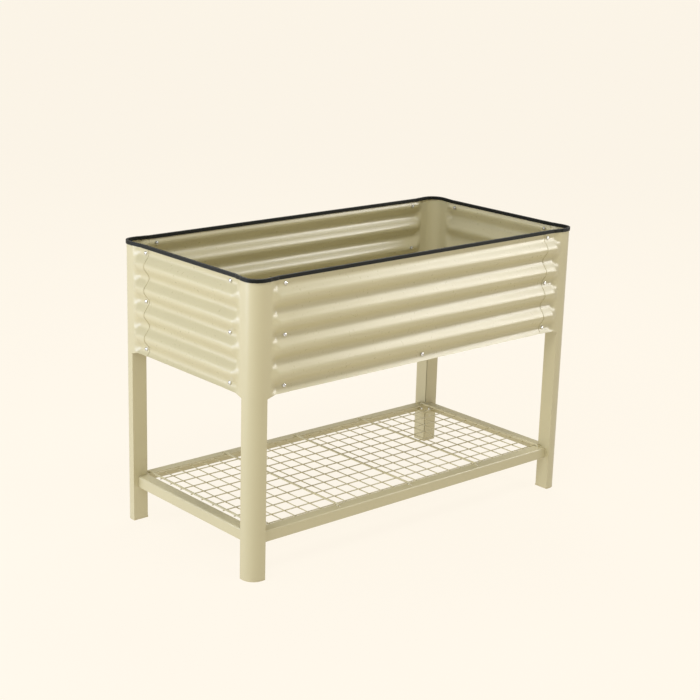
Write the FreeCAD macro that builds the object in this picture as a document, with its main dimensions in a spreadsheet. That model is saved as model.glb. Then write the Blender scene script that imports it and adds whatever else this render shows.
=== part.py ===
import FreeCAD, Part
import Sketcher
import math
import os

# Raised planter on legs: a corrugated sheet-steel trough on four quarter-round posts,
# with a lift-out wire shelf near the floor. All lengths are millimetres.
# Origin: centre of the footprint on the floor. +X runs along the long side, +Y to the back.

V = FreeCAD.Vector

doc = FreeCAD.newDocument("RaisedPlanter")
dims = doc.addObject("Spreadsheet::Sheet", "dims")

DRIVING = [
    ("bed_length", 1200, "over the smooth corners, long way"),
    ("bed_width", 600, "over the smooth corners, short way"),
    ("bed_bottom", 511, "lower edge of the trough walls"),
    ("wave_pitch", 68, "ridge to ridge"),
    ("wave_height", 9, "ridge or valley, from the middle line"),
    ("post_sheet", 1.2, "steel thickness of a post"),
    ("panel_sheet", 1, "steel thickness of a wall panel"),
    ("sheet_gap", 0.15, "powder-coat gap between lapped sheets"),
    ("leg_side", 48, "flat inner faces of a leg"),
    ("leg_seam", 2, "open seam along the inner corner of a leg"),
    ("corner_radius", 36, "smooth outer corner"),
    ("fade_start", 52, "corrugation starts, from the corner"),
    ("fade_length", 32, "run over which it reaches full depth"),
    ("flange_reach", 120, "free edge of a post flange, from the corner"),
    ("lip_bend", 12, "top valley to the start of the straight lip"),
    ("lip_height", 8, "straight lip under the edging"),
    ("gusset_drop", 8, "flange edge drops this much at the leg"),
    ("gusset_reach", 26, "length of that slope"),
    ("panel_end_gap", 2, "wall panel end to the full-depth flange"),
    ("wall_play", 0.2, "base and brackets to the sheets beside them"),
    ("cut_over", 1, "how far a cutting block passes the sheet it cuts"),
    ("drill_length", 30, "drillings through the walls and what lies behind them"),
    ("leg_drill", 5, "drillings in a leg, to each side of its flat face"),
    ("screw_play", 0.05, "screw head or nut to its neighbours"),
    ("bolt_inset", 108, "panel bolts, from the corner"),
    ("bolt_radius", 3, "panel bolt shank"),
    ("hole_radius", 3.3, "clearance hole"),
    ("head_radius", 5.5, "pan head"),
    ("head_height", 3.2, "pan head"),
    ("head_seat", 7.8, "underside of the head, from the wall plane"),
    ("shank_length", 11.2, "under the head"),
    ("nut_flats", 10, "across flats"),
    ("nut_height", 5, "hexagon nut"),
    ("edging_wall", 2.2, "rubber thickness"),
    ("edging_fit", 0.15, "rubber to sheet"),
    ("edging_start", 0.5, "lower edge of the rubber, above the start of the lip"),
    ("floor_sheet", 1.2, "base panel steel"),
    ("floor_level", 536, "underside of the base panels"),
    ("floor_skirt", 20, "folded-down edge"),
    ("floor_joint", 1, "joint between the two base panels"),
    ("floor_notch", 3, "room beside the beam in the folded edge"),
    ("beam_width", 39, "cross-beam under the base"),
    ("beam_depth", 22.8, "cross-beam under the base"),
    ("beam_sheet", 1.5, "cross-beam steel"),
    ("drain_radius", 4, "drain hole"),
    ("foot_height", 5, "visible part of a foot cap"),
    ("foot_plug", 20, "part inside the leg"),
    ("plug_play", 0.3, "plug to the inside of the leg"),
    ("shelf_top", 132, "top face of the shelf rails"),
    ("rail_inset", 16, "rail face behind the corner plane"),
    ("rail_width", 32, "rail top"),
    ("rail_face", 32, "outer face of a rail"),
    ("rail_bend", 5, "outside bend radius"),
    ("rail_sheet", 1.5, "rail steel"),
    ("rail_play", 0.2, "rail end to leg"),
    ("bay", 270, "rod to rod"),
    ("rod_radius", 3, "cross rod"),
    ("rod_hook", 36, "hook centre, from the corner plane"),
    ("hook_bend", 8, "bend radius of the hook"),
    ("hook_drop", 15, "hook tip below the rod centre"),
    ("slot_half_width", 4.5, "slot for a hook"),
    ("slot_half_length", 8, "slot for a hook"),
    ("deck_play", 0.3, "deck over the rails"),
    ("wire_radius", 1.6, "mesh wire"),
    ("cell_length", 45, "mesh cell, long way"),
    ("cell_width", 50, "mesh cell, short way"),
    ("weld_sink", 0.02, "wires of the deck pressed into each other"),
    ("edge_wire", 245, "outermost long wire, from the middle"),
    ("mesh_half_length", 543.5, "tips of the long wires"),
    ("mesh_half_width", 249, "tips of the cross wires"),
    ("bracket_sheet", 1.8, "shelf bracket steel"),
    ("bracket_start", 26, "bracket edge, from the corner"),
    ("bracket_height", 26, "upright of a bracket"),
    ("ear_length", 30, "bracket ear under a rail"),
    ("ear_width", 21, "bracket ear under a rail"),
    ("leg_screw_drop", 18, "shelf top to the screws that hold a bracket"),
]

for row, (alias, value, note) in enumerate(DRIVING, 1):
    dims.set("A%d" % row, alias)
    dims.set("B%d" % row, str(value))
    dims.setAlias("B%d" % row, alias)
    dims.set("C%d" % row, note)
doc.recompute()


class Size:
    """A length that keeps its value and the spreadsheet expression it comes from."""

    def __init__(self, value, text):
        self.value = float(value)
        self.text = text

    def __add__(self, other):
        other = size(other)
        return Size(self.value + other.value, "(%s + %s)" % (self.text, other.text))

    def __sub__(self, other):
        other = size(other)
        return Size(self.value - other.value, "(%s - %s)" % (self.text, other.text))

    def __mul__(self, other):
        other = size(other)
        return Size(self.value * other.value, "(%s * %s)" % (self.text, other.text))

    def __truediv__(self, other):
        other = size(other)
        return Size(self.value / other.value, "(%s / %s)" % (self.text, other.text))

    def __neg__(self):
        return Size(-self.value, "(0 - %s)" % self.text)

    __radd__ = __add__
    __rmul__ = __mul__

    def __rsub__(self, other):
        return size(other) - self


def size(thing):
    """The spreadsheet cell with this name, or a plain number, as a Size."""
    if isinstance(thing, Size):
        return thing
    if isinstance(thing, str):
        return Size(dims.get(thing), "dims." + thing)
    return Size(thing, repr(float(thing)))


def bind(item, **sizes):
    """Tie properties to sizes; a double underscore stands for a dot in the property path."""
    for name, value in sizes.items():
        item.setExpression(name.replace("__", "."), size(value).text)
    return item


def place(item, x, y, z):
    return bind(item, Placement__Base__x=x, Placement__Base__y=y, Placement__Base__z=z)


HALF_LENGTH = size("bed_length") / 2
HALF_WIDTH = size("bed_width") / 2
PITCH = size("wave_pitch")
FIRST_VALLEY = size("bed_bottom") + PITCH / 4
TOP_VALLEY = FIRST_VALLEY + PITCH * 4
LIP_START = TOP_VALLEY + size("lip_bend")
SHEET_TOP = LIP_START + size("lip_height")
BOLT_LEVELS = [FIRST_VALLEY, FIRST_VALLEY + PITCH * 2, TOP_VALLEY]
FULL_WAVE = size("fade_start") + size("fade_length")
PANEL_SKIN = size("post_sheet") + size("sheet_gap")
WALL = PANEL_SKIN + size("panel_sheet")
WALL_INSIDE = size("wave_height") + WALL
RODS = [size("bay") * k for k in (-2, -1, 0, 1, 2)]
LEG_SCREW_LEVEL = size("shelf_top") - size("leg_screw_drop")
LEG_SCREW_ACROSS = size("rail_inset") + size("rail_width") / 2


# ---------------------------------------------------------------- building blocks

def box(name, low, spans):
    """A block from its low corner and its three edge lengths."""
    item = doc.addObject("Part::Box", name)
    place(item, *low)
    return bind(item, Length=spans[0], Width=spans[1], Height=spans[2])


TURNS = {"X": (V(0, 1, 0), 90), "Y": (V(1, 0, 0), -90), "Z": (V(0, 0, 1), 0)}


def rod(name, start, radius, length, axis="Z"):
    """A round bar from its start point along one axis."""
    item = doc.addObject("Part::Cylinder", name)
    item.Placement = FreeCAD.Placement(V(0, 0, 0), FreeCAD.Rotation(*TURNS[axis]))
    place(item, *start)
    return bind(item, Radius=radius, Height=length)


def fuse(name, items):
    item = doc.addObject("Part::MultiFuse", name)
    item.Shapes = items
    item.Refine = True
    return item


def cut(name, base, tools):
    """Take the tools away from the base."""
    item = doc.addObject("Part::Cut", name)
    item.Base = base
    item.Tool = tools[0] if len(tools) == 1 else fuse(name + "_tools", tools)
    item.Refine = True
    return item


def group(name, items):
    item = doc.addObject("Part::Compound", name)
    item.Links = items
    return item


def mirrored(name, source, normal):
    item = doc.addObject("Part::Mirroring", name)
    item.Source = source
    item.Normal = normal
    return item


def origin_plane(body, role):
    for feature in body.Origin.OriginFeatures:
        if getattr(feature, "Role", "") == role:
            return feature
    raise ValueError("no plane " + role)


def new_body(name):
    return doc.addObject("PartDesign::Body", name)


def new_sketch(body, name, role, offset=0):
    """A sketch on one of the body's own planes, moved along that plane's normal."""
    sketch = body.newObject("Sketcher::SketchObject", name)
    sketch.AttachmentSupport = [(origin_plane(body, role), "")]
    sketch.MapMode = "FlatFace"
    sketch.setExpression("AttachmentOffset.Base.z", size(offset).text)
    return sketch


def arc_between(start, end, radius):
    """The arc that turns left from start to end, or right when the radius is negative."""
    chord = end - start
    side = V(-chord.y, chord.x, 0).normalize()
    reach = math.sqrt(max(radius * radius - chord.Length ** 2 / 4, 0))
    centre = (start + end) * 0.5 + side * math.copysign(reach, radius)
    first, last = (start, end) if radius > 0 else (end, start)
    low = math.atan2(first.y - centre.y, first.x - centre.x)
    high = math.atan2(last.y - centre.y, last.x - centre.x)
    if high < low:
        high += 2 * math.pi
    return Part.ArcOfCircle(Part.Circle(centre, V(0, 0, 1), abs(radius)), low, high)


def outline(sketch, corners):
    """A closed outline. Each corner is (x, y), or (x, y, radius) when an arc follows it."""
    points = [V(size(c[0]).value, size(c[1]).value, 0) for c in corners]
    ends = []
    for index, corner in enumerate(corners):
        start = points[index]
        end = points[(index + 1) % len(points)]
        if len(corner) == 2:
            ends.append((sketch.addGeometry(Part.LineSegment(start, end), False), 1, 2))
            continue
        radius = size(corner[2])
        number = sketch.addGeometry(arc_between(start, end, radius.value), False)
        ends.append((number, 1, 2) if radius.value > 0 else (number, 2, 1))
    for index, corner in enumerate(corners):
        here = ends[index]
        before = ends[index - 1]
        sketch.addConstraint(Sketcher.Constraint("Coincident", before[0], before[2], here[0], here[1]))
        pin_point(sketch, here[0], here[1], size(corner[0]), size(corner[1]))
    for index, corner in enumerate(corners):
        if len(corner) == 3:
            radius = size(corner[2])
            rule = Sketcher.Constraint("Radius", ends[index][0], abs(radius.value))
            number = sketch.addConstraint(rule)
            text = radius.text if radius.value > 0 else (-radius).text
            sketch.setExpression("Constraints[%d]" % number, text)


def pin_point(sketch, edge, end, x, y):
    """Hold one end of an edge at (x, y) from the sketch origin."""
    for kind, value in (("DistanceX", x), ("DistanceY", y)):
        number = sketch.addConstraint(Sketcher.Constraint(kind, -1, 1, edge, end, value.value))
        sketch.setExpression("Constraints[%d]" % number, value.text)


def pad(body, name, sketch, length, midplane=False):
    item = body.newObject("PartDesign::Pad", name)
    item.Profile = sketch
    item.Midplane = midplane
    bind(item, Length=length)
    return item


def pocket(body, name, sketch, depth):
    """A cut to both sides of the sketch, checked to have taken material away."""
    doc.recompute()
    before = body.Tip.Shape.Volume
    item = body.newObject("PartDesign::Pocket", name)
    item.Profile = sketch
    item.Midplane = True
    bind(item, Length=depth)
    doc.recompute()
    if item.Shape.Volume >= before:
        raise ValueError(name + " removed nothing")
    return item


# ---------------------------------------------------------------- corrugated sheet

def wave_depth(level):
    """How far the sheet lies behind the wall plane at one height: valleys plus, ridges minus."""
    pitch = PITCH.value
    height = size("wave_height").value
    bend_start = TOP_VALLEY.value + size("lip_bend").value / 2
    bend = size("lip_bend").value / 2
    turn = 2 * math.pi / pitch
    if level <= bend_start:
        return height * math.cos(turn * (level - FIRST_VALLEY.value))
    slope = -height * turn * math.sin(turn * (bend_start - FIRST_VALLEY.value))
    run = min(level - bend_start, bend)
    return wave_depth(bend_start) + slope * run - slope * run * run / (2 * bend)


def wave_levels():
    """Heights at which the wave is set out, closer together in the top bend."""
    bottom = size("bed_bottom").value
    bend_start = TOP_VALLEY.value + size("lip_bend").value / 2
    steps = 72
    levels = [bottom + (bend_start - bottom) * k / steps for k in range(steps)]
    steps = 4
    levels += [bend_start + (LIP_START.value - bend_start) * k / steps for k in range(steps)]
    levels += [LIP_START.value + size("lip_height").value * k / 3 for k in range(4)]
    return levels


def wave_section(sketch, share, skin, thickness):
    """The sheet's cross-section: x is depth behind the wall plane and y is height."""
    curves = []
    for shift in (skin, skin + thickness):
        points = [V(share * wave_depth(z) + shift, z, 0) for z in wave_levels()]
        curve = Part.BSplineCurve()
        curve.interpolate(points)
        curves.append((curve, points))
    (outer, outer_points), (inner, inner_points) = curves
    sketch.addGeometry(outer, False)
    sketch.addGeometry(Part.LineSegment(outer_points[-1], inner_points[-1]), False)
    sketch.addGeometry(inner, False)
    sketch.addGeometry(Part.LineSegment(inner_points[0], outer_points[0]), False)


def wall_panel(name, role, span):
    """A corrugated wall for a side of the bed with this span: its section padded along the wall."""
    body = new_body(name + "_sheet")
    sketch = new_sketch(body, name + "_section", role)
    wave_section(sketch, 1.0, PANEL_SKIN.value, size("panel_sheet").value)
    pad(body, name + "_pad", sketch, span - (FULL_WAVE + "panel_end_gap") * 2, midplane=True)
    return body


def flange_section(name, share, along):
    """One free sketch across a post flange, standing at a distance from the corner."""
    sketch = doc.addObject("Sketcher::SketchObject", name)
    sketch.Placement = FreeCAD.Placement(V(0, 0, 0), FreeCAD.Rotation(V(1, 1, 1), 120))
    place(sketch, along, 0, 0)
    wave_section(sketch, share, 0.0, size("post_sheet").value)
    return sketch


def post_flange():
    """The flange that laps the long wall, set out from the corner along +X."""
    shares = [(0.0, 0.0), (0.25, 0.125), (0.5, 0.5), (0.75, 0.875), (1.0, 1.0)]
    sections = []
    for number, (step, share) in enumerate(shares):
        along = size("fade_start") + size("fade_length") * step
        sections.append(flange_section("fade_section_%d" % number, share, along))
    fade = doc.addObject("Part::Loft", "flange_fade")
    fade.Sections = sections
    fade.Solid = True
    fade.Ruled = False
    full = doc.addObject("Part::Extrusion", "flange_full")
    full.Base = sections[-1]
    full.DirMode = "Custom"
    full.Dir = V(1, 0, 0)
    full.Solid = True
    bind(full, LengthFwd=size("flange_reach") - FULL_WAVE)
    return fuse("flange_long", [fade, full, gusset()])


def gusset():
    """The sloping tongue under the flange beside the leg."""
    body = new_body("gusset")
    sketch = new_sketch(body, "gusset_outline", "XZ_Plane")
    side = size("leg_side") - size("post_sheet")
    bottom = size("bed_bottom")
    tip = size("leg_side") + size("gusset_reach")
    low = bottom - "gusset_drop"
    top = bottom + "cut_over"
    outline(sketch, [(side, low), (size("leg_side"), low), (tip, bottom), (tip, top), (side, top)])
    plate = pad(body, "gusset_pad", sketch, "post_sheet")
    plate.Reversed = True
    return body


# ---------------------------------------------------------------- posts and feet

def leg_profile(inset):
    """Quarter-round outline: two flats and an arc outside, two flats inside."""
    near = size(inset)
    far = size("leg_side") - inset
    turn = size("corner_radius")
    return [(far, near), (far, far), (near, far), (near, turn, size("corner_radius") - inset), (turn, near)]


def corner_sheet():
    """The smooth corner at trough height, between the two flanges."""
    body = new_body("corner_sheet")
    sketch = new_sketch(body, "corner_outline", "XY_Plane", "bed_bottom")
    skin = size("post_sheet")
    turn = size("corner_radius")
    edge = size("fade_start")
    outline(sketch, [(edge, 0), (edge, skin), (turn, skin, skin - turn), (skin, turn), (skin, edge),
                     (0, edge), (0, turn, turn), (turn, 0)])
    pad(body, "corner_pad", sketch, SHEET_TOP - size("bed_bottom"))
    return body


def leg_tube():
    """The closed quarter-round leg with its fine seam at the inner corner."""
    body = new_body("leg_tube")
    sketch = new_sketch(body, "leg_outline", "XY_Plane", "foot_height")
    outline(sketch, leg_profile(0))
    outline(sketch, leg_profile(size("post_sheet")))
    pad(body, "leg_pad", sketch, size("bed_bottom") - size("foot_height"))
    return body


def bolt_holes(name):
    """Clearance holes through a wall near one corner, for the wall along X."""
    holes = []
    for number, level in enumerate(BOLT_LEVELS):
        start = (size("bolt_inset"), 0, level)
        holes.append(rod("%s_%d" % (name, number), start, "hole_radius", "drill_length", "Y"))
    return holes


def leg_screw_holes(name):
    """The two holes through the flats of a leg for the screws of its bracket."""
    depth = size("leg_side") - "leg_drill"
    length = size("leg_drill") * 2
    long_start = (depth, LEG_SCREW_ACROSS, LEG_SCREW_LEVEL)
    short_start = (LEG_SCREW_ACROSS, depth, LEG_SCREW_LEVEL)
    return [rod(name + "_long", long_start, "hole_radius", length, "X"),
            rod(name + "_short", short_start, "hole_radius", length, "Y")]


def post_front_left():
    """One post in a single sheet: closed leg, smooth corner and two corrugated flanges."""
    flange = cut("flange_long_drilled", post_flange(), bolt_holes("flange_hole"))
    other = mirrored("flange_short_drilled", flange, V(1, -1, 0))
    whole = fuse("post_blank", [leg_tube(), corner_sheet(), flange, other])
    seam = size("leg_side") - size("leg_seam")
    groove = box("leg_seam_slit", (seam, seam, 0), ("leg_side", "leg_side", size("bed_bottom") - "cut_over"))
    post = cut("post_front_left", whole, [groove] + leg_screw_holes("leg_hole"))
    return place(post, -HALF_LENGTH, -HALF_WIDTH, 0)


def foot_cap():
    """A plastic cap under a leg: the part that shows, and the plug inside."""
    body = new_body("foot_cap_front_left")
    sole = new_sketch(body, "foot_sole", "XY_Plane")
    outline(sole, leg_profile(0))
    pad(body, "foot_sole_pad", sole, "foot_height")
    plug = new_sketch(body, "foot_plug_outline", "XY_Plane")
    outline(plug, leg_profile(size("post_sheet") + "plug_play"))
    pad(body, "foot_plug_pad", plug, size("foot_height") + size("foot_plug"))
    return place(body, -HALF_LENGTH, -HALF_WIDTH, 0)


def four_corners(first, stem):
    """Mirror the front left piece into the other three corners."""
    right = mirrored(stem + "_front_right", first, V(1, 0, 0))
    back = mirrored(stem + "_back_left", first, V(0, 1, 0))
    far = mirrored(stem + "_back_right", right, V(0, 1, 0))
    return [first, right, back, far]


# ---------------------------------------------------------------- trough walls

def long_panel():
    """The front wall, with six end bolts and one at bottom centre for the cross-beam."""
    body = wall_panel("front_wall", "YZ_Plane", size("bed_length"))
    place(body, 0, -HALF_WIDTH, 0)
    holes = []
    for side in (-1, 1):
        along = (HALF_LENGTH - size("bolt_inset")) * side
        for number, level in enumerate(BOLT_LEVELS):
            name = "front_hole_%s_%d" % ("ab"[side > 0], number)
            holes.append(rod(name, (along, -HALF_WIDTH, level), "hole_radius", "drill_length", "Y"))
    holes.append(rod("front_hole_middle", (0, -HALF_WIDTH, FIRST_VALLEY), "hole_radius", "drill_length", "Y"))
    return cut("panel_front", body, holes)


def end_panel():
    """The left wall; its section is turned to face -X."""
    body = wall_panel("left_wall", "XZ_Plane", size("bed_width"))
    place(body, -HALF_LENGTH, 0, 0)
    holes = []
    for side in (-1, 1):
        along = (HALF_WIDTH - size("bolt_inset")) * side
        for number, level in enumerate(BOLT_LEVELS):
            name = "left_hole_%s_%d" % ("ab"[side > 0], number)
            holes.append(rod(name, (-HALF_LENGTH, along, level), "hole_radius", "drill_length", "X"))
    return cut("panel_left", body, holes)


def rim_path(offset):
    """Points and bend radii of the front left corner of the rim line, offset from the sheet's face."""
    lip = wave_depth(SHEET_TOP.value)
    start = size("fade_start").value
    half = size("fade_length").value / 2
    turn = size("corner_radius").value
    bend = (half * half + lip * lip / 4) / lip
    share = half / bend
    full = V(start + 2 * half, lip + offset, 0)
    middle = V(start + half - offset * share, lip / 2 + offset * math.sqrt(1 - share * share), 0)
    flat = V(start, offset, 0)
    corner = V(turn, offset, 0)
    return [full, middle, flat, corner], (bend - offset, bend + offset, turn - offset)


def rim_wire(offset, level):
    """The whole rim line as a closed wire at one height."""
    quarter, radii = rim_path(offset)
    half_x = HALF_LENGTH.value
    half_y = HALF_WIDTH.value
    swapped = [V(p.y, p.x, 0) for p in reversed(quarter)]
    left = quarter + swapped
    points = [V(p.x - half_x, p.y - half_y, 0) for p in left]
    up = [V(p.x, -p.y, 0) for p in reversed(points)]
    first_half = points + up
    second_half = [V(-p.x, -p.y, 0) for p in first_half]
    ring = first_half + second_half
    edges = []
    count = len(ring)
    for index in range(count):
        start = ring[index]
        end = ring[(index + 1) % count]
        edges.append(rim_edge(start, end, index % 8, radii))
    wire = Part.Wire(edges)
    wire.translate(V(0, 0, level))
    return wire


def rim_edge(start, end, place_in_corner, radii):
    """The edge after one rim point: two bends, a flat, the corner arc and their mirror images."""
    near, far, turn = radii
    bends = {0: -near, 1: far, 3: -turn, 5: far, 6: -near}
    if place_in_corner not in bends:
        return Part.LineSegment(start, end).toShape()
    return arc_between(start, end, bends[place_in_corner]).toShape()


def rim_ring(inside, outside, low, high):
    """A flat band round the rim between two offsets and two heights."""
    outer = Part.Face(rim_wire(outside, low))
    inner = Part.Face(rim_wire(inside, low))
    return outer.cut(inner).extrude(V(0, 0, high - low))


def rim_edging():
    """U-shaped rubber edging pressed over the top lip all the way round."""
    fit = size("edging_fit").value
    wall = size("edging_wall").value
    out_near = -fit
    out_far = -fit - wall
    in_near = WALL.value + fit
    in_far = in_near + wall
    bottom = LIP_START.value + size("edging_start").value
    top = SHEET_TOP.value + fit
    outer_wall = rim_ring(out_near, out_far, bottom, top)
    inner_wall = rim_ring(in_far, in_near, bottom, top)
    cap = rim_ring(in_far, out_far, top, top + wall * 0.9)
    item = doc.addObject("Part::Feature", "rim_edging")
    item.Shape = outer_wall.fuse([inner_wall, cap]).removeSplitter()
    return item


# ---------------------------------------------------------------- base

def base_panel():
    """The left half of the base: a folded tray with drain holes, resting on the cross-beam."""
    skin = size("floor_sheet")
    over = size("cut_over")
    reach = WALL_INSIDE + "wall_play"
    low_x = -HALF_LENGTH + reach
    low_y = -HALF_WIDTH + reach
    length = HALF_LENGTH - reach - size("floor_joint") / 2
    width = size("bed_width") - reach * 2
    skirt = size("floor_skirt")
    bottom = size("floor_level") - skirt
    block = box("base_block", (low_x, low_y, bottom), (length, width, skirt + skin))
    hollow = box("base_hollow", (low_x + skin, low_y + skin, bottom - over),
                 (HALF_LENGTH, width - skin * 2, skirt + over))
    notches = []
    for side, start in (("front", low_y - over), ("back", -low_y - skin - over)):
        low = (-size("beam_width") / 2 - "floor_notch", start, bottom - over)
        notches.append(box("base_notch_" + side, low, ("beam_width", skin + over * 2, skirt + over)))
    return cut("base_panel_left", block, [hollow] + notches + base_bolt_holes() + drain_holes())


def front_and_back_holes(name, x):
    """Two holes for the bottom bolts of the long walls, at one place along them."""
    front = (x, -HALF_WIDTH, FIRST_VALLEY)
    back = (x, HALF_WIDTH - "drill_length", FIRST_VALLEY)
    return [rod(name + "_front", front, "hole_radius", "drill_length", "Y"),
            rod(name + "_back", back, "hole_radius", "drill_length", "Y")]


def base_bolt_holes():
    """Holes in the folded edge for the bottom row of wall bolts."""
    along = HALF_LENGTH - size("bolt_inset")
    across = HALF_WIDTH - size("bolt_inset")
    holes = front_and_back_holes("base_hole", -along)
    for side in (-1, 1):
        start = (-HALF_LENGTH, across * side, FIRST_VALLEY)
        holes.append(rod("base_hole_end_%s" % "ab"[side > 0], start, "hole_radius", "drill_length", "X"))
    return holes


def drain_holes():
    """A grid of drain holes through the base."""
    holes = []
    columns = 5
    rows = 4
    start = size("floor_level") - "cut_over"
    depth = size("floor_sheet") + size("cut_over") * 2
    for column in range(columns):
        for row in range(rows):
            x = -HALF_LENGTH * (column + 0.6) / columns
            y = size("bed_width") * ((row + 0.5) / rows - 0.5)
            name = "drain_%d_%d" % (column, row)
            holes.append(rod(name, (x, y, start), "drain_radius", depth))
    return holes


def base_beam():
    """The folded cross-beam under the joint of the two base panels."""
    skin = size("beam_sheet")
    reach = WALL_INSIDE + "wall_play"
    low_y = -HALF_WIDTH + reach
    span = size("bed_width") - reach * 2
    top = size("floor_level")
    bottom = top - size("beam_depth")
    half = size("beam_width") / 2
    block = box("beam_block", (-half, low_y, bottom), (half * 2, span, "beam_depth"))
    over = size("cut_over")
    hollow = box("beam_hollow", (-half + skin, low_y + skin, bottom - over),
                 (half * 2 - skin * 2, span - skin * 2, size("beam_depth") - skin + over))
    return cut("base_beam", block, [hollow] + front_and_back_holes("beam_hole", 0))


# ---------------------------------------------------------------- fasteners

def screw_shape():
    """A pan-head screw: head above the origin, shank below, with a cross recess."""
    shank = size("bolt_radius").value
    head = size("head_radius").value
    height = size("head_height").value
    length = size("shank_length").value
    edge = height * 0.35
    side = [V(0, 0, -length), V(shank - 0.6, 0, -length), V(shank, 0, 0.6 - length), V(shank, 0, 0),
            V(head, 0, 0), V(head, 0, edge)]
    edges = [Part.LineSegment(a, b).toShape() for a, b in zip(side, side[1:])]
    crown = Part.Arc(V(head, 0, edge), V(head * 0.72, 0, height * 0.86), V(0, 0, height))
    edges.append(crown.toShape())
    edges.append(Part.LineSegment(V(0, 0, height), V(0, 0, -length)).toShape())
    solid = Part.Face(Part.Wire(edges)).revolve(V(0, 0, 0), V(0, 0, 1), 360)
    arm = head * 0.62
    slot = head * 0.12
    depth = height * 0.5
    for half_x, half_y in ((arm, slot), (slot, arm)):
        recess = Part.makeBox(half_x * 2, half_y * 2, height, V(-half_x, -half_y, height - depth))
        solid = solid.cut(recess)
    return solid


def nut_shape():
    """A hexagon nut standing on the origin, bored to clear the shank."""
    flats = size("nut_flats").value
    height = size("nut_height").value
    corner = flats / math.sqrt(3)
    points = [V(corner * math.cos(math.radians(60 * k)), corner * math.sin(math.radians(60 * k)), 0)
              for k in range(7)]
    block = Part.Face(Part.makePolygon(points)).extrude(V(0, 0, height))
    trim = Part.makeCone(flats / 2 + height, flats / 2, height * 2, V(0, 0, -height), V(0, 0, 1))
    over = size("cut_over").value
    radius = size("bolt_radius").value + size("screw_play").value
    bore = Part.makeCylinder(radius, height + over * 2, V(0, 0, -over))
    return block.common(trim).cut(bore)


def wall_bolts():
    """Every wall bolt: its point on the wall plane and the direction out of the trough."""
    half_x = HALF_LENGTH.value
    half_y = HALF_WIDTH.value
    inset = size("bolt_inset").value
    bolts = []
    for level in BOLT_LEVELS:
        for sign in (-1, 1):
            for other in (-1, 1):
                bolts.append((V(other * (half_x - inset), sign * half_y, level.value), V(0, sign, 0)))
                bolts.append((V(sign * half_x, other * (half_y - inset), level.value), V(sign, 0, 0)))
    for sign in (-1, 1):
        bolts.append((V(0, sign * half_y, FIRST_VALLEY.value), V(0, sign, 0)))
    return bolts


def copies(name, shape, spots):
    """One group of equal solids; each spot is where the origin goes and where +Z points."""
    item = doc.addObject("Part::Feature", name)
    solids = []
    for point, direction in spots:
        turned = shape.copy()
        turned.Placement = FreeCAD.Placement(point, FreeCAD.Rotation(V(0, 0, 1), direction))
        solids.append(turned)
    item.Shape = Part.makeCompound(solids)
    return item


def panel_screws():
    """The visible screws of the wall seams and of the cross-beam."""
    seat = size("head_seat").value
    spots = [(point - out * seat, out) for point, out in wall_bolts()]
    return copies("panel_screws", screw_shape(), spots)


def panel_nuts():
    """The nuts inside; the bottom row also holds the base or the beam, so it sits deeper."""
    play = size("screw_play")
    seat = (WALL_INSIDE + play).value
    low_seat = (WALL_INSIDE + play + "wall_play" + "beam_sheet").value
    spots = []
    for point, out in wall_bolts():
        depth = low_seat if point.z < BOLT_LEVELS[1].value else seat
        spots.append((point - out * depth, -out))
    return copies("panel_nuts", nut_shape(), spots)


# ---------------------------------------------------------------- shelf rails

def rail_outline(sketch, face, back):
    """Folded angle section: an outer face at one side and a flat top that reaches to the other."""
    skin = size("rail_sheet")
    bend = size("rail_bend")
    top = size("shelf_top")
    foot = top - size("rail_face")
    outline(sketch, [(face, foot), (face + skin, foot), (face + skin, top - bend, skin - bend),
                     (face + bend, top - skin), (back, top - skin), (back, top),
                     (face + bend, top, bend), (face, top - bend)])


def long_rail():
    """The front rail, slotted on top for the hooks of the deck rods; slot ends are very nearly half round."""
    body = new_body("rail_front")
    sketch = new_sketch(body, "rail_front_section", "YZ_Plane")
    face = -HALF_WIDTH + size("rail_inset")
    rail_outline(sketch, face, face + size("rail_width"))
    length = size("bed_length") - size("leg_side") * 2 - size("rail_play") * 2
    pad(body, "rail_front_pad", sketch, length, midplane=True)
    slots = new_sketch(body, "rail_front_slots", "XY_Plane", "shelf_top")
    half = size("slot_half_width")
    reach = size("slot_half_length") - half
    middle = -HALF_WIDTH + size("rod_hook")
    turn = half * 1.05
    for x in RODS:
        outline(slots, [(x - half, middle - reach, turn), (x + half, middle - reach),
                        (x + half, middle + reach, turn), (x - half, middle + reach)])
    pocket(body, "rail_front_pocket", slots, size("rail_sheet") * 4)
    return body


def end_rail():
    """The left rail, plain on top."""
    body = new_body("rail_left")
    sketch = new_sketch(body, "rail_left_section", "XZ_Plane")
    face = -HALF_LENGTH + size("rail_inset")
    rail_outline(sketch, face, face + size("rail_width"))
    length = size("bed_width") - size("leg_side") * 2 - size("rail_play") * 2
    pad(body, "rail_left_pad", sketch, length, midplane=True)
    return body


def shelf_bracket():
    """A folded bracket round the inner corner of a leg; one ear is notched for a rod's hook."""
    skin = size("bracket_sheet")
    side = size("leg_side")
    start = size("bracket_start")
    top = size("shelf_top") - size("rail_sheet") - size("wall_play")
    low = top - size("bracket_height")
    reach = side + skin - start
    width = size("ear_width")
    parts = [box("bracket_long", (side, start, low), (skin, reach, "bracket_height")),
             box("bracket_short", (start, side, low), (reach, skin, "bracket_height")),
             box("bracket_ear_long", (side, start, top - skin), ("ear_length", width, skin)),
             box("bracket_ear_short", (start, side, top - skin), (width, "ear_length", skin))]
    half = size("slot_half_width")
    hook = (HALF_LENGTH + RODS[0] - half, size("rod_hook") - half, top - skin * 2)
    notch = box("bracket_hook_notch", hook, (half * 2, width, skin * 3))
    tools = [notch] + leg_screw_holes("bracket_hole")
    bracket = cut("rail_bracket_front_left", fuse("bracket_blank", parts), tools)
    return place(bracket, -HALF_LENGTH, -HALF_WIDTH, 0)


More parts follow.
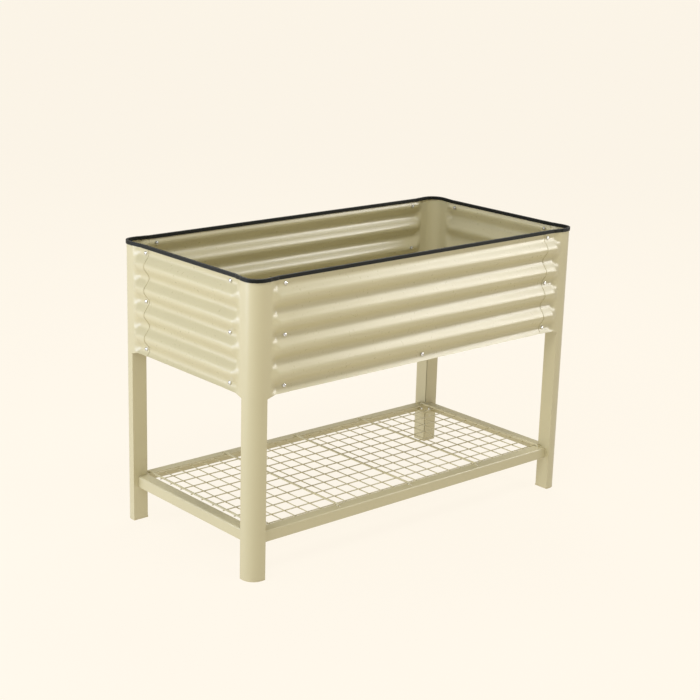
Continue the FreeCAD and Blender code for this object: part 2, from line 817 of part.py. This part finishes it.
def bracket_screws():
    """Two screws per bracket, into the flat faces of the leg and hidden under the rails."""
    side = (size("leg_side") + "bracket_sheet" + "screw_play").value
    across = LEG_SCREW_ACROSS.value
    level = LEG_SCREW_LEVEL.value
    spots = []
    for sign_x in (-1, 1):
        for sign_y in (-1, 1):
            corner = V(sign_x * HALF_LENGTH.value, sign_y * HALF_WIDTH.value, level)
            spots.append((corner - V(sign_x * side, sign_y * across, 0), V(-sign_x, 0, 0)))
            spots.append((corner - V(sign_x * across, sign_y * side, 0), V(0, -sign_y, 0)))
    return copies("bracket_screws", screw_shape(), spots)


# ---------------------------------------------------------------- lift-out deck

ROD_LEVEL = size("shelf_top") + size("deck_play") + size("rod_radius")
LONG_LEVEL = ROD_LEVEL - size("rod_radius") - size("wire_radius") + "weld_sink"
CROSS_LEVEL = LONG_LEVEL - size("wire_radius") * 2 + "weld_sink"


def shelf_rods():
    """Five cross rods whose ends bend down into the slots of the long rails."""
    level = ROD_LEVEL.value
    end = HALF_WIDTH.value - size("rod_hook").value
    bend = size("hook_bend").value
    tip = level - size("hook_drop").value
    slant = bend * (1 - math.sqrt(0.5))
    points = [V(0, -end, tip), V(0, -end, level - bend), V(0, -end + slant, level - slant),
              V(0, -end + bend, level), V(0, end - bend, level), V(0, end - slant, level - slant),
              V(0, end, level - bend), V(0, end, tip)]
    path = Part.Wire([Part.LineSegment(points[0], points[1]).toShape(),
                      Part.Arc(points[1], points[2], points[3]).toShape(),
                      Part.LineSegment(points[3], points[4]).toShape(),
                      Part.Arc(points[4], points[5], points[6]).toShape(),
                      Part.LineSegment(points[6], points[7]).toShape()])
    profile = Part.Wire(Part.Circle(points[0], V(0, 0, 1), size("rod_radius").value).toShape())
    bent = path.makePipeShell([profile], True, True)
    spots = [(V(x.value, 0, 0), V(0, 0, 1)) for x in RODS]
    return copies("shelf_rods", bent, spots)


def shelf_long_wires():
    """The wires that run the long way, welded under the rods."""
    lines = [-size("edge_wire")] + [size("cell_width") * k for k in range(-4, 5)] + [size("edge_wire")]
    wires = []
    for number, y in enumerate(lines):
        start = (-size("mesh_half_length"), y, LONG_LEVEL)
        wires.append(rod("long_wire_%02d" % number, start, "wire_radius", size("mesh_half_length") * 2, "X"))
    return group("shelf_long_wires", wires)


def shelf_cross_wires():
    """Five wires between each pair of rods, welded under the long wires."""
    wires = []
    for number in range(-12, 13):
        if number % 6 == 0:
            continue
        start = (size("cell_length") * number, -size("mesh_half_width"), CROSS_LEVEL)
        name = "cross_wire_%02d" % (number + 12)
        wires.append(rod(name, start, "wire_radius", size("mesh_half_width") * 2, "Y"))
    return group("shelf_cross_wires", wires)


# ---------------------------------------------------------------- assembly

def build():
    """Every node, with its name as the label."""
    nodes = []
    nodes += four_corners(post_front_left(), "post")
    nodes += four_corners(foot_cap(), "foot_cap")
    front = long_panel()
    left = end_panel()
    nodes += [front, mirrored("panel_back", front, V(0, 1, 0))]
    nodes += [left, mirrored("panel_right", left, V(1, 0, 0))]
    nodes.append(rim_edging())
    base = base_panel()
    nodes += [base, mirrored("base_panel_right", base, V(1, 0, 0)), base_beam()]
    nodes += [panel_screws(), panel_nuts()]
    rail = long_rail()
    end = end_rail()
    nodes += [rail, mirrored("rail_back", rail, V(0, 1, 0))]
    nodes += [end, mirrored("rail_right", end, V(1, 0, 0))]
    nodes += four_corners(shelf_bracket(), "rail_bracket")
    nodes += [bracket_screws(), shelf_rods(), shelf_long_wires(), shelf_cross_wires()]
    return nodes


def check_and_write(nodes):
    """Refuse a broken document, then write one file per node."""
    doc.recompute()
    for item in doc.Objects:
        if "Invalid" in item.State or "Error" in item.State:
            raise ValueError("%s is %s" % (item.Label, item.State))
    os.makedirs("parts", exist_ok=True)
    for node in nodes:
        shape = node.Shape
        if shape.isNull() or not shape.isValid() or not shape.Solids:
            raise ValueError(node.Label + " has no valid solid")
        shape.exportStep("parts/%s.step" % node.Label)
        bounds = shape.BoundBox
        print("%-24s solids %2d" % (node.Label, len(shape.Solids)),
              "x %.1f %.1f" % (bounds.XMin, bounds.XMax),
              "y %.1f %.1f" % (bounds.YMin, bounds.YMax),
              "z %.1f %.1f" % (bounds.ZMin, bounds.ZMax))


check_and_write(build())
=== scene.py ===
import math
import bpy
from mathutils import Matrix, Vector


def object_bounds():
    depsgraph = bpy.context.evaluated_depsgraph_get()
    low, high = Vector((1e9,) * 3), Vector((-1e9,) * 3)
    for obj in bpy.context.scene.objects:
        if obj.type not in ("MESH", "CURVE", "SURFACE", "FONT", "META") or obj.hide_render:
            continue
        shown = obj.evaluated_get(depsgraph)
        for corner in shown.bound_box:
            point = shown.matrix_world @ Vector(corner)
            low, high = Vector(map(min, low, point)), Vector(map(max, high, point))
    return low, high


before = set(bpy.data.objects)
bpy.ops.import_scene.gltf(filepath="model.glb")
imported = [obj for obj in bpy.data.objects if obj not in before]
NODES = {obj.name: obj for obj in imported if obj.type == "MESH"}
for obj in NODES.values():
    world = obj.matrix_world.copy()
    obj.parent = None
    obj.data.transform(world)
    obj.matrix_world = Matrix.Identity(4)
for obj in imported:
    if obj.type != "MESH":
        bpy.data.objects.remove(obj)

CAD_LOW, CAD_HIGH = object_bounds()
MM = 0.001

CREAM = (0.535, 0.483, 0.292, 1.0)
DRIFT_SHADE = 0.955     # how much darker the powder coat gets as its tone drifts
SPECK_LIFT = 1.12       # how much lighter its finest specks are
SPECK_AMOUNT = 0.16
GLOSS_DRIFT = 0.035     # roughness more or less, over a few millimetres

FLOOR_RADIUS = 36.0
FLOOR_RIM = 10.0
FLOOR_SIDES = 96
FLOOR_TONES = (0.055, 0.053, 0.048, 1.0), (0.052, 0.050, 0.045, 1.0)
FLOOR_GLOW = (1.0, 0.935, 0.825, 1.0)
FLOOR_GLOW_STRENGTH = 0.95

SKY = (1.0, 0.965, 0.90, 1.0)
SKY_STRENGTH = 0.24
AIM_HEIGHT = 0.6        # all lamps point at this height over the middle of the planter

# name, place, width, height, watts, colour, shows only in reflections
LAMPS = (
    ("key_light", (-3.2, 1.2, 0.95), 2.2, 1.7, 48, (0.91, 1.0, 1.27), False),
    ("high_light", (-2.7, -1.1, 3.1), 2.2, 2.2, 52, (0.95, 1.0, 1.12), False),
    ("top_light", (-0.2, -1.7, 4.2), 2.6, 0.9, 56, (1.0, 0.99, 0.98), False),
    ("rear_light", (2.0, 1.8, 3.8), 2.0, 2.0, 75, (1.0, 0.99, 0.98), False),
    ("front_light", (-0.6, -3.0, 2.8), 2.0, 1.1, 6, (1.0, 0.99, 0.97), True),
    ("band_light", (2.5, -1.9, 1.9), 0.9, 2.4, 66, (1.0, 0.99, 0.98), True),
)

CAMERA_PLACE = (-2.9107, -3.2924, 1.7402)
CAMERA_YAW = 41.369     # degrees, from +Y towards +X
CAMERA_PITCH = 16.111   # degrees, downwards
CAMERA_ROLL = 1.633
CAMERA_LENS = 80.26
SENSOR_WIDTH = 36.0


# ---------------------------------------------------------------- materials

def srgb(red, green, blue):
    """A colour given as 0-255 display values, in scene-linear numbers with alpha."""
    def linear(value):
        value /= 255.0
        return value / 12.92 if value <= 0.04045 else ((value + 0.055) / 1.055) ** 2.4
    return (linear(red), linear(green), linear(blue), 1.0)


def scaled(colour, factor):
    """A lighter or darker colour, no channel above 1."""
    return tuple(min(1.0, channel * factor) for channel in colour[:3]) + (1.0,)


class Finish:
    """A node material with small helpers for tone, gloss and relief."""

    def __init__(self, name):
        self.material = bpy.data.materials.new(name)
        self.material.use_nodes = True
        self.tree = self.material.node_tree
        self.shader = self.tree.nodes["Principled BSDF"]
        self.place = self.add("ShaderNodeTexCoord").outputs["Object"]
        self.normal = None

    def add(self, kind, **settings):
        node = self.tree.nodes.new(kind)
        for key, value in settings.items():
            setattr(node, key, value)
        return node

    def link(self, source, target):
        self.tree.links.new(source, target)

    def set(self, **values):
        """Fixed shader inputs, with underscores for the spaces in their names."""
        for key, value in values.items():
            self.shader.inputs[key.replace("_", " ")].default_value = value

    def drive(self, name, source):
        """A shader input that follows a socket."""
        self.link(source, self.shader.inputs[name])

    def stretched(self, scale):
        """Object coordinates, longer or shorter along each axis."""
        mapping = self.add("ShaderNodeMapping")
        mapping.inputs["Scale"].default_value = scale
        self.link(self.place, mapping.inputs["Vector"])
        return mapping.outputs["Vector"]

    def noise(self, grain, detail, rough, stretch=None):
        """A noise whose features are about `grain` metres across."""
        node = self.add("ShaderNodeTexNoise")
        node.inputs["Scale"].default_value = 1.0 / grain
        node.inputs["Detail"].default_value = detail
        node.inputs["Roughness"].default_value = rough
        self.link(self.stretched(stretch) if stretch else self.place, node.inputs["Vector"])
        return node.outputs["Fac"]

    def remap(self, value, to_low, to_high, low=0.3, high=0.7):
        """A value from low to high, spread from to_low to to_high; most of a noise is in 0.3 to 0.7."""
        node = self.add("ShaderNodeMapRange", clamp=True)
        self.link(value, node.inputs["Value"])
        ends = {"From Min": low, "From Max": high, "To Min": to_low, "To Max": to_high}
        for socket, number in ends.items():
            node.inputs[socket].default_value = number
        return node.outputs["Result"]

    def mix(self, amount, first, second):
        """Mix of two colours, each a fixed colour or a socket."""
        node = self.add("ShaderNodeMix", data_type="RGBA")
        sockets = [s for s in node.inputs if s.type == "RGBA"]
        for socket, colour in zip(sockets, (first, second)):
            if isinstance(colour, tuple):
                socket.default_value = colour
            else:
                self.link(colour, socket)
        self.link(amount, node.inputs[0])
        return [s for s in node.outputs if s.type == "RGBA"][0]

    def bump(self, height, distance):
        """Relief of `distance` metres, added to any relief already there."""
        node = self.add("ShaderNodeBump")
        node.inputs["Strength"].default_value = 1.0
        node.inputs["Distance"].default_value = distance
        self.link(height, node.inputs["Height"])
        if self.normal is not None:
            self.link(self.normal, node.inputs["Normal"])
        self.normal = node.outputs["Normal"]
        self.drive("Normal", self.normal)


def powder_coat(name, roughness, grain=1.1 * MM, relief=0.022 * MM):
    """Satin polyester powder coat: orange peel, faint tone drift and fine sparkle in the gloss."""
    finish = Finish(name)
    drift = finish.remap(finish.noise(0.22, 3.0, 0.55), 0.0, 1.0)
    tone = finish.mix(drift, CREAM, scaled(CREAM, DRIFT_SHADE))
    speck = finish.remap(finish.noise(0.7 * MM, 1.0, 0.4), 0.0, SPECK_AMOUNT, 0.35, 0.65)
    finish.drive("Base Color", finish.mix(speck, tone, scaled(CREAM, SPECK_LIFT)))
    gloss = finish.noise(9 * MM, 3.0, 0.6)
    finish.drive("Roughness", finish.remap(gloss, roughness - GLOSS_DRIFT, roughness + GLOSS_DRIFT))
    finish.bump(finish.noise(grain, 2.0, 0.5), relief)
    finish.bump(finish.noise(70 * MM, 1.0, 0.4), 0.25 * MM)
    finish.set(IOR=1.62)
    return finish.material


def edging_rubber(name):
    """Charcoal extruded rubber with drawing lines, a dull bloom and fine pits."""
    finish = Finish(name)
    bloom = finish.remap(finish.noise(35 * MM, 4.0, 0.6), 0.0, 0.55, 0.42, 0.72)
    finish.drive("Base Color", finish.mix(bloom, srgb(9, 13, 8), srgb(18, 21, 14)))
    finish.drive("Roughness", finish.remap(finish.noise(4 * MM, 3.0, 0.6), 0.42, 0.56))
    finish.bump(finish.noise(0.9 * MM, 2.0, 0.6), 0.03 * MM)
    finish.bump(finish.noise(0.8 * MM, 1.0, 0.5, stretch=(0.03, 0.03, 1.0)), 0.03 * MM)
    finish.set(IOR=1.3)
    return finish.material


def bright_screw(name):
    """Nickel-bright pan head with fine turning marks and small stains."""
    finish = Finish(name)
    stain = finish.remap(finish.noise(2.5 * MM, 3.0, 0.6), 0.0, 0.5, 0.5, 0.75)
    finish.drive("Base Color", finish.mix(stain, srgb(226, 226, 224), srgb(176, 174, 166)))
    finish.drive("Roughness", finish.remap(finish.noise(1.2 * MM, 3.0, 0.6), 0.14, 0.26))
    finish.bump(finish.noise(0.35 * MM, 1.0, 0.5), 0.012 * MM)
    finish.set(Metallic=1.0)
    return finish.material


def zinc_nut(name):
    """Zinc plate: faint spangle and a duller, slightly blue-grey metal."""
    finish = Finish(name)
    spangle = finish.remap(finish.noise(1.8 * MM, 2.0, 0.5), 0.0, 1.0, 0.35, 0.65)
    finish.drive("Base Color", finish.mix(spangle, srgb(176, 178, 180), srgb(204, 203, 196)))
    finish.drive("Roughness", finish.remap(finish.noise(1.0 * MM, 2.0, 0.5), 0.3, 0.44))
    finish.bump(finish.noise(0.5 * MM, 2.0, 0.5), 0.015 * MM)
    finish.set(Metallic=1.0)
    return finish.material


def foot_plastic(name):
    """Cream moulded plastic with a fine spark-eroded texture."""
    finish = Finish(name)
    drift = finish.remap(finish.noise(18 * MM, 3.0, 0.5), 0.0, 1.0)
    finish.drive("Base Color", finish.mix(drift, srgb(198, 188, 152), srgb(188, 178, 142)))
    finish.drive("Roughness", finish.remap(finish.noise(3 * MM, 2.0, 0.5), 0.5, 0.62))
    finish.bump(finish.noise(0.6 * MM, 2.0, 0.6), 0.035 * MM)
    finish.set(IOR=1.46)
    return finish.material


def floor_finish(name):
    """A dull pale floor that glows evenly, so that the backdrop has one tone."""
    finish = Finish(name)
    drift = finish.remap(finish.noise(0.5, 3.0, 0.5), 0.0, 1.0)
    finish.drive("Base Color", finish.mix(drift, *FLOOR_TONES))
    finish.set(Roughness=0.9, Emission_Color=FLOOR_GLOW, Emission_Strength=FLOOR_GLOW_STRENGTH)
    finish.set(Specular_IOR_Level=0.0)
    return finish.material


MATERIALS = {
    "post_coat": powder_coat("post_coat", 0.32),
    "wall_coat": powder_coat("wall_coat", 0.3),
    "rail_coat": powder_coat("rail_coat", 0.34),
    "wire_coat": powder_coat("wire_coat", 0.36, 0.8 * MM, 0.018 * MM),
    "bracket_coat": powder_coat("bracket_coat", 0.44),
    "base_coat": powder_coat("base_coat", 0.46),
    "beam_coat": powder_coat("beam_coat", 0.46),
    "foot_plastic": foot_plastic("foot_plastic"),
    "edging_rubber": edging_rubber("edging_rubber"),
    "bright_screw": bright_screw("bright_screw"),
    "zinc_nut": zinc_nut("zinc_nut"),
}

for node in NODES.values():
    for place in node.material_slots:
        plain_name = place.material.name.split(".")[0]
        place.material = MATERIALS[plain_name]


# ---------------------------------------------------------------- studio

def floor_mesh():
    """A large plain floor at the feet, turned up into a low rim far away."""
    turns = [2 * math.pi * k / FLOOR_SIDES for k in range(FLOOR_SIDES)]
    corners = [(FLOOR_RADIUS * math.cos(t), FLOOR_RADIUS * math.sin(t), z)
               for z in (0.0, FLOOR_RIM) for t in turns]
    walls = []
    for k in range(FLOOR_SIDES):
        after = (k + 1) % FLOOR_SIDES
        walls.append((k, after, after + FLOOR_SIDES, k + FLOOR_SIDES))
    mesh = bpy.data.meshes.new("studio_floor")
    mesh.from_pydata(corners, [], [tuple(range(FLOOR_SIDES))] + walls)
    mesh.materials.append(floor_finish("studio_floor"))
    item = bpy.data.objects.new("studio_floor", mesh)
    bpy.context.scene.collection.objects.link(item)


def soft_box(name, where, target, width, height, power, colour, shine_only):
    """A rectangular studio light pointed at a target; a shine-only one shows just in reflections."""
    lamp = bpy.data.lights.new(name, "AREA")
    lamp.shape = "RECTANGLE"
    lamp.size, lamp.size_y = width, height
    lamp.energy = power
    lamp.color = colour
    item = bpy.data.objects.new(name, lamp)
    item.location = where
    item.rotation_mode = "QUATERNION"
    item.rotation_quaternion = (Vector(target) - Vector(where)).to_track_quat("-Z", "Y")
    item.visible_diffuse = not shine_only
    bpy.context.scene.collection.objects.link(item)


def studio():
    """The lamps, a dim even sky and plain colour handling."""
    middle = (CAD_LOW + CAD_HIGH) / 2
    target = (middle.x, middle.y, AIM_HEIGHT)
    for name, where, width, height, power, colour, shine_only in LAMPS:
        soft_box(name, where, target, width, height, power, colour, shine_only)
    world = bpy.data.worlds.new("studio_world")
    world.use_nodes = True
    background = world.node_tree.nodes["Background"]
    background.inputs["Color"].default_value = SKY
    background.inputs["Strength"].default_value = SKY_STRENGTH
    bpy.context.scene.world = world
    bpy.context.scene.view_settings.view_transform = "Standard"


def camera():
    """The camera: place, heading, tilt, roll and lens."""
    yaw, pitch, roll = (math.radians(a) for a in (CAMERA_YAW, CAMERA_PITCH, CAMERA_ROLL))
    forward = Vector((math.sin(yaw) * math.cos(pitch), math.cos(yaw) * math.cos(pitch), -math.sin(pitch)))
    right = forward.cross(Vector((0, 0, 1))).normalized()
    up = right.cross(forward)
    turned_right = right * math.cos(roll) + up * math.sin(roll)
    turned_up = up * math.cos(roll) - right * math.sin(roll)
    lens = bpy.data.cameras.new("camera")
    lens.sensor_width = SENSOR_WIDTH
    lens.lens = CAMERA_LENS
    item = bpy.data.objects.new("camera", lens)
    item.matrix_world = Matrix.Translation(Vector(CAMERA_PLACE)) @ Matrix(
        (turned_right, turned_up, -forward)).transposed().to_4x4()
    bpy.context.scene.collection.objects.link(item)
    bpy.context.scene.camera = item


floor_mesh()
studio()
camera()
